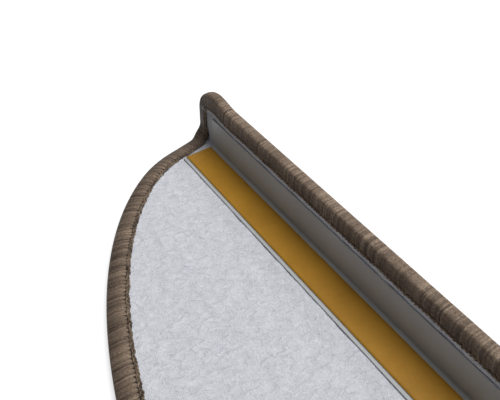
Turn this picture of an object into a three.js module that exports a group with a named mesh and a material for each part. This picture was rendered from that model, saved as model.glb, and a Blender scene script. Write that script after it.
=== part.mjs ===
// Half-oval stair tread mat, lying on its walking face as it does before it is fitted.
// X runs along the stair's edge, Y from the nosing flange to the round back, Z up from the ground.
// The sheet is laid out flat first, as (x, u) across the fold, and every point is then bent round the fold.
// u is measured on the fleece face from the fold: positive on the tread, negative on the flange.
// Depths are measured from the fleece face into the carpet, so what lies on the fleece has a negative depth.
import * as THREE from "three";
import { mergeVertices } from "three/addons/utils/BufferGeometryUtils.js";

// Outline of the mat, in millimetres
const LENGTH = 560;
const TREAD_REACH = 153.2;
const FLANGE_HEIGHT = 37.7;
const FLANGE_CORNER_RADIUS = 16;

// How the cut departs from a true half oval with a square flange: the oval is a little narrower beside
// the fold, the flange tapers towards its top, and low ears stand at the flange's corners
const WAIST_DEPTH = 3.5;
const WAIST_NEAR = 12;
const WAIST_FAR = 55;
const TAPER_START = 12;
const TAPER_SLOPE = 0.13;
const EAR_HEIGHT = 2;
const EAR_FROM_END = 21;
const EAR_HALF_WIDTH = 16;

// Layers of the carpet
const FLEECE_THICKNESS = 1.8;
const BOND_LINE = 0.3;
const PILE_THICKNESS = 5.3;

// Fold between the tread and the flange, tight along the profile and softer at its free ends
const FOLD_RADIUS = 2.8;
const FOLD_END_RADIUS = 10;

// Yarn wrapped round the cut edge; its widths are measured in from the outermost yarn
const YARN_THICKNESS = 0.65;
const YARN_CLEARANCE = 0.3;
const SERGING_WIDTH_TREAD = 13.5;
const SERGING_WIDTH_FLANGE = 11;
const SERGING_WIDTH_PILE = 9.5;
const SERGING_LIP = 0.5;

// Braid of the lock stitch, which lies on the fleece and takes up the innermost part of the serging
const BRAID_WIDTH = 2;
const BRAID_HEIGHT = 0.9;
const BRAID_CLEARANCE = 0.4;
const BRAID_ROUNDING = 0.4;

// Angle profile glued into the fold; it stops short of the serging at its ends and at its top
const PROFILE_WALL = 1.2;
const PROFILE_TREAD_LEG = 25.5;
const PROFILE_CORNER_RADIUS = 2;
const PROFILE_END_GAP = 8;
const PROFILE_TOP_GAP = 2.7;
const PROFILE_FREE_END = 3;

// Glue between the profile and the fleece
const GLUE_THICKNESS = 0.3;
const GLUE_MARGIN = 1.5;
const GLUE_SEAT = 0.01;

// Double-sided tape on the profile's tread leg, with its release liner
const TAPE_WIDTH = 19;
const TAPE_THICKNESS = 0.5;
const TAPE_OUTER_MARGIN = 2.1;
const TAPE_END_MARGIN = 1;
const LINER_THICKNESS = 0.2;

// Steps of the faceted curves
const TREAD_STEPS = 16;
const FOLD_STEPS = 6;
const FOLD_EASE_STEPS = 3;
const CORNER_STEPS = 6;
const EDGE_STEPS = 6;
const EASE_COLUMNS = 11;
const EAR_STEPS = 6;
const PROFILE_CORNER_STEPS = 3;
const SHARPEST_CORNER = 0.3;

const CARPET_THICKNESS = FLEECE_THICKNESS + BOND_LINE + PILE_THICKNESS;
const YARN_LAYER = YARN_THICKNESS + YARN_CLEARANCE;
const EDGE_RADIUS = CARPET_THICKNESS / 2 + YARN_LAYER;
const EDGE_MIDDLE = CARPET_THICKNESS / 2;
const HALF_LENGTH = LENGTH / 2;
const HALF_PROFILE = HALF_LENGTH - SERGING_WIDTH_TREAD - PROFILE_END_GAP;
const PROFILE_FLANGE_LEG = FLANGE_HEIGHT - SERGING_WIDTH_FLANGE - PROFILE_TOP_GAP;
const EASE_START = HALF_PROFILE + PROFILE_FREE_END;
const EAR_MIDDLE = HALF_LENGTH - EAR_FROM_END;

// Where the fold's fleece faces lie once the mat is centred and set down on its lowest yarns
const TREAD_Z = CARPET_THICKNESS + YARN_LAYER;
const FLANGE_Y = (TREAD_Z - TREAD_REACH) / 2;

const RIGHT_ANGLE = Math.PI / 2;

function smooth(share) {
  const s = Math.min(Math.max(share, 0), 1);
  return s * s * (3 - 2 * s);
}

function foldRadius(x) {
  const along = (Math.abs(x) - EASE_START) / (HALF_LENGTH - EASE_START);
  return FOLD_RADIUS + (FOLD_END_RADIUS - FOLD_RADIUS) * smooth(along);
}

// Takes a point of the true half oval to its place in the real cut, still flat
function trim(x, u) {
  const farther = smooth((u - WAIST_NEAR) / (WAIST_FAR - WAIST_NEAR));
  const waist = WAIST_DEPTH * smooth(u / WAIST_NEAR) * (1 - farther);
  const taper = TAPER_SLOPE * Math.max(-u - TAPER_START, 0);
  const fromEar = Math.min(Math.abs(Math.abs(x) - EAR_MIDDLE) / EAR_HALF_WIDTH, 1);
  const ear = EAR_HEIGHT * smooth(1 - fromEar) * smooth(-u / FLANGE_HEIGHT);
  return [x * (1 - (waist + taper) / HALF_LENGTH), u - ear];
}

// Takes a point of the flat sheet to its place on the folded mat
function fold(x, u, depth) {
  const r = foldRadius(x);
  let y = u;
  let z = -depth;
  if (u <= -r) {
    y = -depth;
    z = -u;
  } else if (u < r) {
    const turned = ((1 - u / r) * RIGHT_ANGLE) / 2;
    y = r - (r + depth) * Math.sin(turned);
    z = r - (r + depth) * Math.cos(turned);
  }
  return [x, FLANGE_Y + y, TREAD_Z + z];
}

function foldMat(x, u, depth) {
  return fold(...trim(x, u), depth);
}

// Collects facets and leaves out those that have no area
class Facets {
  points = [];

  triangle(a, b, c) {
    const same = (p, q) => Math.hypot(p[0] - q[0], p[1] - q[1], p[2] - q[2]) < 1e-6;
    if (same(a, b) || same(b, c) || same(c, a)) return;
    this.points.push(...a, ...b, ...c);
  }

  quad(a, b, c, d) {
    this.triangle(a, b, c);
    this.triangle(a, c, d);
  }

  geometry() {
    const loose = new THREE.BufferGeometry();
    loose.setAttribute("position", new THREE.Float32BufferAttribute(this.points, 3));
    return mergeVertices(loose, 1e-4);
  }
}

// Rows of the mat's outline from the middle of its round back to the top of the flange.
// Each row gives the outline's right-hand point at a chosen distance inside the mat's edge.
function treadRow(angle) {
  const slope = Math.hypot(TREAD_REACH * Math.cos(angle), HALF_LENGTH * Math.sin(angle));
  const outX = (TREAD_REACH * Math.cos(angle)) / slope;
  const outU = (HALF_LENGTH * Math.sin(angle)) / slope;
  return {
    u: TREAD_REACH * Math.sin(angle),
    at: (inset) => ({
      x: HALF_LENGTH * Math.cos(angle) - inset * outX,
      u: TREAD_REACH * Math.sin(angle) - inset * outU,
    }),
  };
}

function flangeSideRow(u) {
  return { u, at: (inset) => ({ x: HALF_LENGTH - inset, u }) };
}

function flangeCornerRow(angle) {
  return {
    u: -FLANGE_HEIGHT + FLANGE_CORNER_RADIUS * (1 - Math.sin(angle)),
    at: (inset) => {
      const radius = Math.max(FLANGE_CORNER_RADIUS - inset, SHARPEST_CORNER);
      return {
        x: HALF_LENGTH - inset - radius * (1 - Math.cos(angle)),
        u: -FLANGE_HEIGHT + inset + radius * (1 - Math.sin(angle)),
      };
    },
  };
}

function flangeTopRow(x) {
  return { u: -FLANGE_HEIGHT, at: (inset) => ({ x, u: -FLANGE_HEIGHT + inset }) };
}

function matRows() {
  const rows = [];
  const clearOfFold = Math.asin((FOLD_END_RADIUS * 1.5) / TREAD_REACH);
  for (let i = 0; i <= TREAD_STEPS; i++) {
    const angle = RIGHT_ANGLE + ((clearOfFold - RIGHT_ANGLE) * i) / TREAD_STEPS;
    rows.push(treadRow(i === 0 ? RIGHT_ANGLE : angle));
  }
  const across = [];
  for (let i = 0; i < FOLD_EASE_STEPS; i++) {
    across.push(FOLD_END_RADIUS + ((FOLD_RADIUS - FOLD_END_RADIUS) * i) / FOLD_EASE_STEPS);
  }
  for (let i = 0; i <= FOLD_STEPS; i++) {
    across.push(FOLD_RADIUS * (1 - (2 * i) / FOLD_STEPS));
  }
  for (let i = FOLD_EASE_STEPS - 1; i >= 0; i--) {
    across.push(-across[i]);
  }
  for (const u of across) {
    rows.push(u > 0 ? treadRow(Math.asin(u / TREAD_REACH)) : flangeSideRow(u));
  }
  for (let i = 0; i <= CORNER_STEPS; i++) {
    rows.push(flangeCornerRow((RIGHT_ANGLE * i) / CORNER_STEPS));
  }
  return rows;
}

// Rows for a ring round the mat, which also needs the ears on the flange's top
function ringRows() {
  const rows = matRows();
  const from = HALF_LENGTH - FLANGE_CORNER_RADIUS;
  const to = EAR_MIDDLE - EAR_HALF_WIDTH;
  for (let i = 1; i <= EAR_STEPS; i++) {
    rows.push(flangeTopRow(from + ((to - from) * i) / EAR_STEPS));
  }
  return rows;
}

// Rows of a straight strip with rounded corners, from its tread side to its flange side
function stripRows(halfLength, treadSide, flangeSide, cornerRadius, foldU) {
  const rows = [];
  const corner = (i) => (RIGHT_ANGLE * i) / PROFILE_CORNER_STEPS;
  const row = (x, u) => rows.push({ u, at: () => ({ x, u }) });
  for (let i = 0; i <= PROFILE_CORNER_STEPS; i++) {
    const dip = cornerRadius * (1 - Math.cos(corner(i)));
    row(halfLength - cornerRadius * (1 - Math.sin(corner(i))), treadSide - dip);
  }
  for (const u of foldU) row(halfLength, u);
  for (let i = PROFILE_CORNER_STEPS; i >= 0; i--) {
    const dip = cornerRadius * (1 - Math.cos(corner(i)));
    row(halfLength - cornerRadius * (1 - Math.sin(corner(i))), -flangeSide + dip);
  }
  return rows;
}

// A sheet between its first and last layer; each layer has a depth and an inset from the mat's edge
function sheet(rows, columns, layers, place) {
  const facets = new Facets();
  const point = (layer, row, column) => {
    const edge = row.at(layer.inset);
    return place(edge.x * column, edge.u, layer.depth);
  };
  const last = rows.length - 1;
  for (let i = 0; i < last; i++) {
    for (let j = 0; j < columns.length - 1; j++) {
      const corners = (layer) => [
        point(layer, rows[i], columns[j]),
        point(layer, rows[i + 1], columns[j]),
        point(layer, rows[i + 1], columns[j + 1]),
        point(layer, rows[i], columns[j + 1]),
      ];
      facets.quad(...corners(layers[0]));
      facets.quad(...corners(layers.at(-1)).reverse());
    }
  }
  const inner = columns.slice(1, -1);
  const loop = (layer) => [
    ...rows.map((row) => point(layer, row, 1)),
    ...inner.toReversed().map((column) => point(layer, rows[last], column)),
    ...rows.toReversed().map((row) => point(layer, row, -1)),
    ...inner.map((column) => point(layer, rows[0], column)),
  ];
  for (let k = 0; k < layers.length - 1; k++) {
    const upper = loop(layers[k]);
    const lower = loop(layers[k + 1]);
    upper.forEach((start, i) => {
      const next = (i + 1) % upper.length;
      facets.quad(start, upper[next], lower[next], lower[i]);
    });
  }
  return facets.geometry();
}

// A ring along the whole edge of the mat; section gives [inset, depth] points for each row
function ring(rows, section) {
  const facets = new Facets();
  const station = (row, side) =>
    section(row).map(([inset, depth]) => {
      const edge = row.at(inset);
      return foldMat(edge.x * side, edge.u, depth);
    });
  const right = rows.map((row) => station(row, 1));
  const left = rows.slice(1).toReversed().map((row) => station(row, -1));
  const stations = [...right, ...left];
  stations.forEach((near, k) => {
    const far = stations[(k + 1) % stations.length];
    near.forEach((_, i) => {
      const next = (i + 1) % near.length;
      facets.quad(near[i], far[i], far[next], near[next]);
    });
  });
  return facets.geometry();
}

// Inset of the carpet's cut edge at a depth: it is pressed round under the yarn
function pressedEdge(depth) {
  const radius = CARPET_THICKNESS / 2;
  const off = Math.min(Math.abs(depth - EDGE_MIDDLE), radius);
  return { depth, inset: EDGE_RADIUS - Math.sqrt(radius * radius - off * off) };
}

function matColumns() {
  const outer = [];
  const from = Math.min(EASE_START, EAR_MIDDLE - EAR_HALF_WIDTH) / HALF_LENGTH;
  for (let i = 0; i <= EASE_COLUMNS; i++) {
    outer.push(from + ((1 - from) * i) / EASE_COLUMNS);
  }
  return [...outer.toReversed().map((v) => -v), ...outer];
}

function fleeceBacking(rows) {
  const depths = [0, FLEECE_THICKNESS / 3, FLEECE_THICKNESS];
  return sheet(rows, matColumns(), depths.map(pressedEdge), foldMat);
}

function carpetPile(rows) {
  const top = FLEECE_THICKNESS + BOND_LINE;
  const under = CARPET_THICKNESS;
  const depths = [top, EDGE_MIDDLE, under - PILE_THICKNESS / 3, under - PILE_THICKNESS / 9, under];
  return sheet(rows, matColumns(), depths.map(pressedEdge), foldMat);
}

// The serging is as wide as it is on the tread down to the fold and gets narrower up the flange
function sergingWidth(row) {
  const up = Math.min(Math.max(-row.u / FLANGE_HEIGHT, 0), 1);
  return SERGING_WIDTH_TREAD + (SERGING_WIDTH_FLANGE - SERGING_WIDTH_TREAD) * up;
}

function edgeArc(radius, fromFleece) {
  const points = [];
  for (let i = 0; i <= EDGE_STEPS; i++) {
    const angle = (Math.PI * i) / EDGE_STEPS;
    const depth = EDGE_MIDDLE - radius * Math.cos(angle) * (fromFleece ? 1 : -1);
    points.push([EDGE_RADIUS - radius * Math.sin(angle), depth]);
  }
  return points;
}

function wrapsSection(row) {
  const width = sergingWidth(row) - BRAID_WIDTH - BRAID_CLEARANCE;
  const pileFace = CARPET_THICKNESS + YARN_LAYER;
  const halfway = (width + EDGE_RADIUS) / 2;
  return [
    [width, -YARN_CLEARANCE],
    [width, -YARN_CLEARANCE - YARN_THICKNESS / 2],
    [width - SERGING_LIP, -YARN_LAYER],
    [halfway, -YARN_LAYER],
    ...edgeArc(EDGE_RADIUS, true),
    [SERGING_WIDTH_PILE - SERGING_LIP, pileFace],
    [SERGING_WIDTH_PILE, pileFace - YARN_THICKNESS / 2],
    [SERGING_WIDTH_PILE, pileFace - YARN_THICKNESS],
    ...edgeArc(EDGE_RADIUS - YARN_THICKNESS, false),
    [halfway, -YARN_CLEARANCE],
  ];
}

function braidSection(row) {
  const inner = sergingWidth(row);
  const outer = inner - BRAID_WIDTH;
  const seat = -YARN_CLEARANCE;
  const top = seat - BRAID_HEIGHT;
  return [
    [inner, seat],
    [inner, top + BRAID_ROUNDING],
    [inner - BRAID_ROUNDING, top],
    [outer + BRAID_ROUNDING, top],
    [outer, top + BRAID_ROUNDING],
    [outer, seat],
  ];
}

function angleProfile() {
  const bend = [];
  for (let i = 0; i <= FOLD_STEPS; i++) bend.push(FOLD_RADIUS * (1 - (2 * i) / FOLD_STEPS));
  const rows = stripRows(
    HALF_PROFILE,
    PROFILE_TREAD_LEG,
    PROFILE_FLANGE_LEG,
    PROFILE_CORNER_RADIUS,
    bend,
  );
  const layers = [
    { depth: -GLUE_THICKNESS - PROFILE_WALL, inset: 0 },
    { depth: -GLUE_THICKNESS, inset: 0 },
  ];
  return sheet(rows, [-1, 1], layers, fold);
}

// A flat strip given by its corners on the fold's fleece faces
function strip(name, length, low, high, material) {
  const size = [length, high.y - low.y, high.z - low.z];
  const mesh = new THREE.Mesh(new THREE.BoxGeometry(...size), material);
  mesh.name = name;
  mesh.position.set(0, FLANGE_Y + (low.y + high.y) / 2, TREAD_Z + (low.z + high.z) / 2);
  return mesh;
}

function named(name, geometry, material) {
  geometry.computeVertexNormals();
  const mesh = new THREE.Mesh(geometry, material);
  mesh.name = name;
  return mesh;
}

const paint = (color, roughness) => new THREE.MeshStandardMaterial({ color, roughness, metalness: 0 });
const taupePile = paint(0x74665a, 0.95);
const whiteFleece = paint(0xc6c9cf, 0.95);
const taupeYarn = paint(0x6e5f53, 0.8);
const darkThread = paint(0x4a4038, 0.85);
const greyPlastic = paint(0xa9aaa8, 0.45);
const clearGlue = paint(0xd8d3c4, 0.5);
const whiteTape = paint(0xe4e0d4, 0.6);
const amberLiner = paint(0xbf8f2c, 0.35);

const rows = matRows();
const edgeRows = ringRows();
const profileTop = GLUE_THICKNESS + PROFILE_WALL;
const glueFromFold = FOLD_RADIUS + GLUE_MARGIN;
const glueLength = 2 * (HALF_PROFILE - GLUE_MARGIN - PROFILE_CORNER_RADIUS);
const tapeOuter = PROFILE_TREAD_LEG - TAPE_OUTER_MARGIN;
const tapeInner = tapeOuter - TAPE_WIDTH;
const tapeLength = 2 * (HALF_PROFILE - TAPE_END_MARGIN);

const mat = new THREE.Group();
mat.add(
  named("carpet_pile", carpetPile(rows), taupePile),
  named("fleece_backing", fleeceBacking(rows), whiteFleece),
  named("edge_serging", ring(edgeRows, wrapsSection), taupeYarn),
  named("lock_stitch_braid", ring(edgeRows, braidSection), darkThread),
  named("angle_profile", angleProfile(), greyPlastic),
  strip(
    "glue_strip_tread",
    glueLength,
    { y: glueFromFold, z: GLUE_SEAT },
    { y: PROFILE_TREAD_LEG - GLUE_MARGIN, z: GLUE_THICKNESS },
    clearGlue,
  ),
  strip(
    "glue_strip_flange",
    glueLength,
    { y: GLUE_SEAT, z: glueFromFold },
    { y: GLUE_THICKNESS, z: PROFILE_FLANGE_LEG - GLUE_MARGIN },
    clearGlue,
  ),
  strip(
    "adhesive_tape",
    tapeLength,
    { y: tapeInner, z: profileTop },
    { y: tapeOuter, z: profileTop + TAPE_THICKNESS },
    whiteTape,
  ),
  strip(
    "release_liner",
    tapeLength,
    { y: tapeInner, z: profileTop + TAPE_THICKNESS },
    { y: tapeOuter, z: profileTop + TAPE_THICKNESS + LINER_THICKNESS },
    amberLiner,
  ),
);

export default mat;
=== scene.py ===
import math

import bpy
import numpy as np
from mathutils import Matrix, Vector


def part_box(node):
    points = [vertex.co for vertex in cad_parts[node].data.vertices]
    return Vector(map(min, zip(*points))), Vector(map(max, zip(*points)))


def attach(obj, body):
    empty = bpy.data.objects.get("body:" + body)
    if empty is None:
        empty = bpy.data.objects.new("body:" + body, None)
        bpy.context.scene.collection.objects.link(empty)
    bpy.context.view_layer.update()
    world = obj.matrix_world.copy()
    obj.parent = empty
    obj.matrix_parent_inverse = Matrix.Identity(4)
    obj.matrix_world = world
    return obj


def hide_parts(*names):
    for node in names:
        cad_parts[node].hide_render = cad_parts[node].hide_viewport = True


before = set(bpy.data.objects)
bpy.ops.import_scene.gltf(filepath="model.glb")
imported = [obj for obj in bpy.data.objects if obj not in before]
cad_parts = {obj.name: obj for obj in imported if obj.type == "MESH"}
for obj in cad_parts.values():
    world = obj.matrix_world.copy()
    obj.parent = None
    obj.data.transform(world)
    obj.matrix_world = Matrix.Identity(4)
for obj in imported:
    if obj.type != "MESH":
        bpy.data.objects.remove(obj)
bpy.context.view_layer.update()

# Tufted carpet
# Taupe loop-pile carpet, cut to a half oval with a flange and lying on its walking face.
# It is worked out flat, in millimetres, and folded up at the flange; its yarn stands in rows of loops.

MM = 0.001
HALF_LENGTH = 280
TREAD_REACH = 153.2
FLANGE_HEIGHT = 37.7
FLANGE_CORNER_RADIUS = 16
FLEECE_THICKNESS = 1.8
CARPET_THICKNESS = 7.4
YARN_LAYER = 0.95
FOLD_RADIUS = 2.8
FOLD_END_RADIUS = 10
EASE_START = 261.5
WAIST_DEPTH = 3.5
WAIST_NEAR = 12
WAIST_FAR = 55
TAPER_START = 12
TAPER_SLOPE = 0.13
EAR_HEIGHT = 2
EAR_MIDDLE = 259
EAR_HALF_WIDTH = 16
TREAD_Z = CARPET_THICKNESS + YARN_LAYER
FLANGE_Y = (TREAD_Z - TREAD_REACH) / 2
EDGE_MIDDLE = CARPET_THICKNESS / 2
EDGE_RADIUS = EDGE_MIDDLE + YARN_LAYER
PRESSED_DEPTH = (0, 0.6, 1.8, 2.5, 3.7)
PRESSED_INSET = (6.5, 4.2, 2.0, 1.5, 0.95)
RIPPLE_COUNT = 40
BACK_POINTS = 1400
SIDE_POINTS = 60
CORNER_POINTS = 60
TOP_POINTS = 600


def smooth(share):
    """An even start and stop between 0 and 1."""
    s = np.clip(share, 0, 1)
    return s * s * (3 - 2 * s)


def fold(x, u, depth):
    """Where points of the flat sheet lie on the folded mat, in metres.

    x runs along the stair, u across the fold on the fleece, depth from the fleece into the carpet.
    """
    x, u, depth = np.broadcast_arrays(x, u, depth)
    along = (np.abs(x) - EASE_START) / (HALF_LENGTH - EASE_START)
    r = FOLD_RADIUS + (FOLD_END_RADIUS - FOLD_RADIUS) * smooth(along)
    turned = np.clip(1 - u / r, 0, 2) * math.pi / 4
    y = r - (r + depth) * np.sin(turned) + np.maximum(u - r, 0)
    z = r - (r + depth) * np.cos(turned) + np.maximum(-u - r, 0)
    return np.stack([x, FLANGE_Y + y, TREAD_Z + z], -1) * MM


def fold_cut(x, u, depth):
    """The same for a point of the true half oval, which the real cut departs from a little.

    The oval has a waist beside the fold, the flange tapers upwards, and low ears stand at its corners.
    """
    waist = WAIST_DEPTH * smooth(u / WAIST_NEAR) * (1 - smooth((u - WAIST_NEAR) / (WAIST_FAR - WAIST_NEAR)))
    taper = TAPER_SLOPE * np.maximum(-u - TAPER_START, 0)
    from_ear = np.abs(np.abs(x) - EAR_MIDDLE) / EAR_HALF_WIDTH
    ear = EAR_HEIGHT * smooth(1 - from_ear) * smooth(-u / FLANGE_HEIGHT)
    return fold(x * (1 - (waist + taper) / HALF_LENGTH), u - ear, depth)


def half_outline():
    """The mat's right-hand edge from the middle of its round back to the middle of the flange's top."""
    angle = np.linspace(math.pi / 2, 0, BACK_POINTS)
    back_x = HALF_LENGTH * np.cos(angle)
    back_u = TREAD_REACH * np.sin(angle)
    slope = np.hypot(TREAD_REACH * np.cos(angle), HALF_LENGTH * np.sin(angle))
    side_u = np.linspace(0, FLANGE_CORNER_RADIUS - FLANGE_HEIGHT, SIDE_POINTS)[1:]
    turn = np.linspace(0, math.pi / 2, CORNER_POINTS)[1:]
    corner_x = HALF_LENGTH - FLANGE_CORNER_RADIUS * (1 - np.cos(turn))
    corner_u = FLANGE_CORNER_RADIUS * (1 - np.sin(turn)) - FLANGE_HEIGHT
    top_x = np.linspace(HALF_LENGTH - FLANGE_CORNER_RADIUS, 0, TOP_POINTS)[1:]
    x = np.concatenate([back_x, np.full(side_u.size, HALF_LENGTH), corner_x, top_x])
    u = np.concatenate([back_u, side_u, corner_u, np.full(top_x.size, -FLANGE_HEIGHT)])
    out_x = np.concatenate([
        TREAD_REACH * np.cos(angle) / slope, np.ones(side_u.size), np.cos(turn), np.zeros(top_x.size)
    ])
    out_u = np.concatenate([
        HALF_LENGTH * np.sin(angle) / slope, np.zeros(side_u.size), -np.sin(turn), -np.ones(top_x.size)
    ])
    return x, u, out_x, out_u


right_x, right_u, right_out_x, right_out_u = half_outline()
edge_x = np.concatenate([right_x, -right_x[-2::-1]])
edge_u = np.concatenate([right_u, right_u[-2::-1]])
edge_out_x = np.concatenate([right_out_x, -right_out_x[-2::-1]])
edge_out_u = np.concatenate([right_out_u, right_out_u[-2::-1]])
edge_run = np.concatenate([[0], np.cumsum(np.hypot(np.diff(edge_x), np.diff(edge_u)))])
EDGE_LENGTH = edge_run[-1]
corner_end = int(np.argmax(right_u <= -FLANGE_HEIGHT + 1e-9))


def edge_at(run, inset):
    """The flat point that lies an inset inside the mat's edge, at a length run along that edge."""
    run = np.mod(run, EDGE_LENGTH)
    x = np.interp(run, edge_run, edge_x) - inset * np.interp(run, edge_run, edge_out_x)
    u = np.interp(run, edge_run, edge_u) - inset * np.interp(run, edge_run, edge_out_u)
    return x, u


def run_at(u):
    """The length along the right-hand edge at which it is u across the fold."""
    return np.interp(-u, -right_u[:corner_end + 1], edge_run[:corner_end + 1])


def ripples(x, u, shortest, longest, seed):
    """Soft random unevenness of about unit height, with waves of the given lengths."""
    rng = np.random.default_rng(seed)
    total = np.zeros(np.broadcast(x, u).shape)
    for _ in range(RIPPLE_COUNT):
        number = 2 * math.pi / rng.uniform(shortest, longest)
        way = rng.uniform(0, math.pi)
        total += np.cos(number * (x * math.cos(way) + u * math.sin(way)) + rng.uniform(0, 2 * math.pi))
    return total / math.sqrt(RIPPLE_COUNT / 2)


def mesh_object(name, points, faces, rounded=True):
    """A mesh from its points, in metres, and groups of faces, shaded round or flat."""
    mesh = bpy.data.meshes.new(name)
    mesh.from_pydata(points.tolist(), [], [face for group in faces for face in group.tolist()])
    mesh.polygons.foreach_set("use_smooth", np.full(len(mesh.polygons), rounded))
    mesh.update()
    made = bpy.data.objects.new(name, mesh)
    bpy.context.scene.collection.objects.link(made)
    return made


def layered_sheet(name, layers, columns, laid, lift=None):
    """A closed sheet; each layer gives the half width and the u of every row, and one depth.

    laid takes a flat point to its place, and lift raises the first layer.
    """
    rows = len(layers[0][0])
    width = len(columns)
    points = []
    for half, u, depth in (layers[0], layers[-1]):
        x = np.outer(half, columns)
        across = np.repeat(u[:, None], width, 1)
        raised = np.full(x.shape, float(depth))
        if lift is not None and not points:
            raised -= lift(x, across)
        points.append(laid(x, across, raised).reshape(-1, 3))
    index = np.arange(rows * width).reshape(rows, width)
    a, b, c, d = index[:-1, :-1], index[1:, :-1], index[1:, 1:], index[:-1, 1:]
    top = np.stack([a, b, c, d], -1).reshape(-1, 4)
    bottom = top[:, ::-1] + rows * width
    rim = np.concatenate([index[:, -1], index[-1, -2::-1], index[-2::-1, 0], index[0, 1:-1]])
    loops = [rim]
    start = 2 * rows * width
    for half, u, depth in layers[1:-1]:
        flat_x = np.outer(half, columns).reshape(-1)[rim]
        flat_u = np.repeat(u[:, None], width, 1).reshape(-1)[rim]
        points.append(laid(flat_x, flat_u, depth))
        loops.append(np.arange(start, start + rim.size))
        start += rim.size
    loops.append(rim + rows * width)
    walls = [np.stack([upper, np.roll(upper, -1), np.roll(lower, -1), lower], -1)
             for upper, lower in zip(loops, loops[1:])]
    return mesh_object(name, np.concatenate(points), [top, bottom, *walls])


BACK_START = math.radians(86)
BACK_END = 14
BACK_ROWS = 76
BEND_REACH = 13.2
BEND_ROWS = 39
SIDE_START = -14.5
SIDE_ROWS = 5
CORNER_ROWS = 36
SWELL_ROWS = (25.6, 25.85, 26.1, 26.4, 26.8, -24.05, -24.2, -24.4, -24.6)


def mat_rows():
    """The u of each row of the mat's sheets, close together at the fold, the swells and the corners."""
    back = TREAD_REACH * np.sin(np.linspace(BACK_START, math.asin(BACK_END / TREAD_REACH), BACK_ROWS))
    bend = np.linspace(BEND_REACH, -BEND_REACH, BEND_ROWS)
    side = np.linspace(SIDE_START, FLANGE_CORNER_RADIUS - FLANGE_HEIGHT, SIDE_ROWS)
    turn = np.linspace(0, math.pi / 2, CORNER_ROWS)[1:]
    corner = FLANGE_CORNER_RADIUS * (1 - np.sin(turn)) - FLANGE_HEIGHT
    return np.sort(np.concatenate([back, bend, side, corner, SWELL_ROWS]))[::-1]


def pressed_layer(rows_u, depth):
    """A layer of the mat at a depth; the cut edge is pressed down under the yarn that binds it."""
    off = min(abs(depth - EDGE_MIDDLE), EDGE_MIDDLE)
    inset = EDGE_RADIUS - math.sqrt(EDGE_MIDDLE ** 2 - off ** 2)
    if depth < EDGE_MIDDLE:
        inset = float(np.interp(depth, PRESSED_DEPTH, PRESSED_INSET))
    half, u = edge_at(run_at(rows_u), inset)
    return half, u, depth


def add_values(made, name, values):
    """Stores a number with each point of a mesh for its material to read."""
    made.data.attributes.new(name, "FLOAT", "POINT").data.foreach_set("value", values.astype(np.float32))


def tube_faces(number, rings, sides, closed=False):
    """The walls and end faces of tubes whose points follow each other ring by ring."""
    start = np.arange(number)[:, None, None] * rings * sides
    spans = rings if closed else rings - 1
    ring, spot = np.meshgrid(np.arange(spans), np.arange(sides), indexing="ij")
    after = (spot + 1) % sides
    next_ring = (ring + 1) % rings
    quad = np.stack([ring * sides + spot, ring * sides + after,
                     next_ring * sides + after, next_ring * sides + spot], -1).reshape(-1, 4)
    walls = (start + quad[None]).reshape(-1, 4)
    if closed:
        return [walls]
    first = start[:, 0] + np.arange(sides)[::-1]
    last = start[:, 0] + np.arange(sides) + (rings - 1) * sides
    return [walls, first, last]


def srgb(red, green, blue):
    """A colour given from 0 to 255, as a screen shows it, for a shader's socket."""
    shares = [channel / 255 for channel in (red, green, blue)]
    return (*[v / 12.92 if v <= 0.04045 else ((v + 0.055) / 1.055) ** 2.4 for v in shares], 1)


def place(tree, kind, inputs=(), **settings):
    """Adds a shader node with its settings, and fills its inputs with values or links."""
    made = tree.nodes.new("ShaderNode" + kind)
    for name, value in settings.items():
        setattr(made, name, value)
    for socket, value in dict(inputs).items():
        if isinstance(value, bpy.types.NodeSocket):
            tree.links.new(value, made.inputs[socket])
        else:
            made.inputs[socket].default_value = value
    return made


def effect_group(name, inputs, outputs):
    """An empty shader node group with its named sockets."""
    tree = bpy.data.node_groups.new(name, "ShaderNodeTree")
    for socket, kind, value in inputs:
        made = tree.interface.new_socket(socket, in_out="INPUT", socket_type="NodeSocket" + kind)
        made.default_value = value
    for socket, kind in outputs:
        tree.interface.new_socket(socket, in_out="OUTPUT", socket_type="NodeSocket" + kind)
    return tree, tree.nodes.new("NodeGroupInput").outputs, tree.nodes.new("NodeGroupOutput").inputs


def finish_of(name, roughness, specular=0.5):
    """A new material and its Principled shader."""
    material = bpy.data.materials.new(name)
    material.use_nodes = True
    shader = material.node_tree.nodes["Principled BSDF"]
    shader.inputs["Roughness"].default_value = roughness
    shader.inputs["Specular IOR Level"].default_value = specular
    return material, material.node_tree, shader


def noise(tree, where, scale, detail, distortion=0.0):
    """A soft random pattern."""
    given = {"Vector": where, "Scale": scale, "Detail": detail, "Distortion": distortion}
    return place(tree, "TexNoise", given).outputs[0]


def spread_out(tree, value, start, end, low=0.0, high=1.0):
    """Takes the values between two limits to two others."""
    return place(tree, "MapRange", {0: value, 1: start, 2: end, 3: low, 4: high}).outputs[0]


def mix_colours(tree, share, first, second, how="MIX"):
    """Mixes a share of the second colour into the first, or multiplies the two."""
    made = place(tree, "Mix", {0: share, 6: first, 7: second}, data_type="RGBA", blend_type=how)
    return made.outputs[2]


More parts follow.
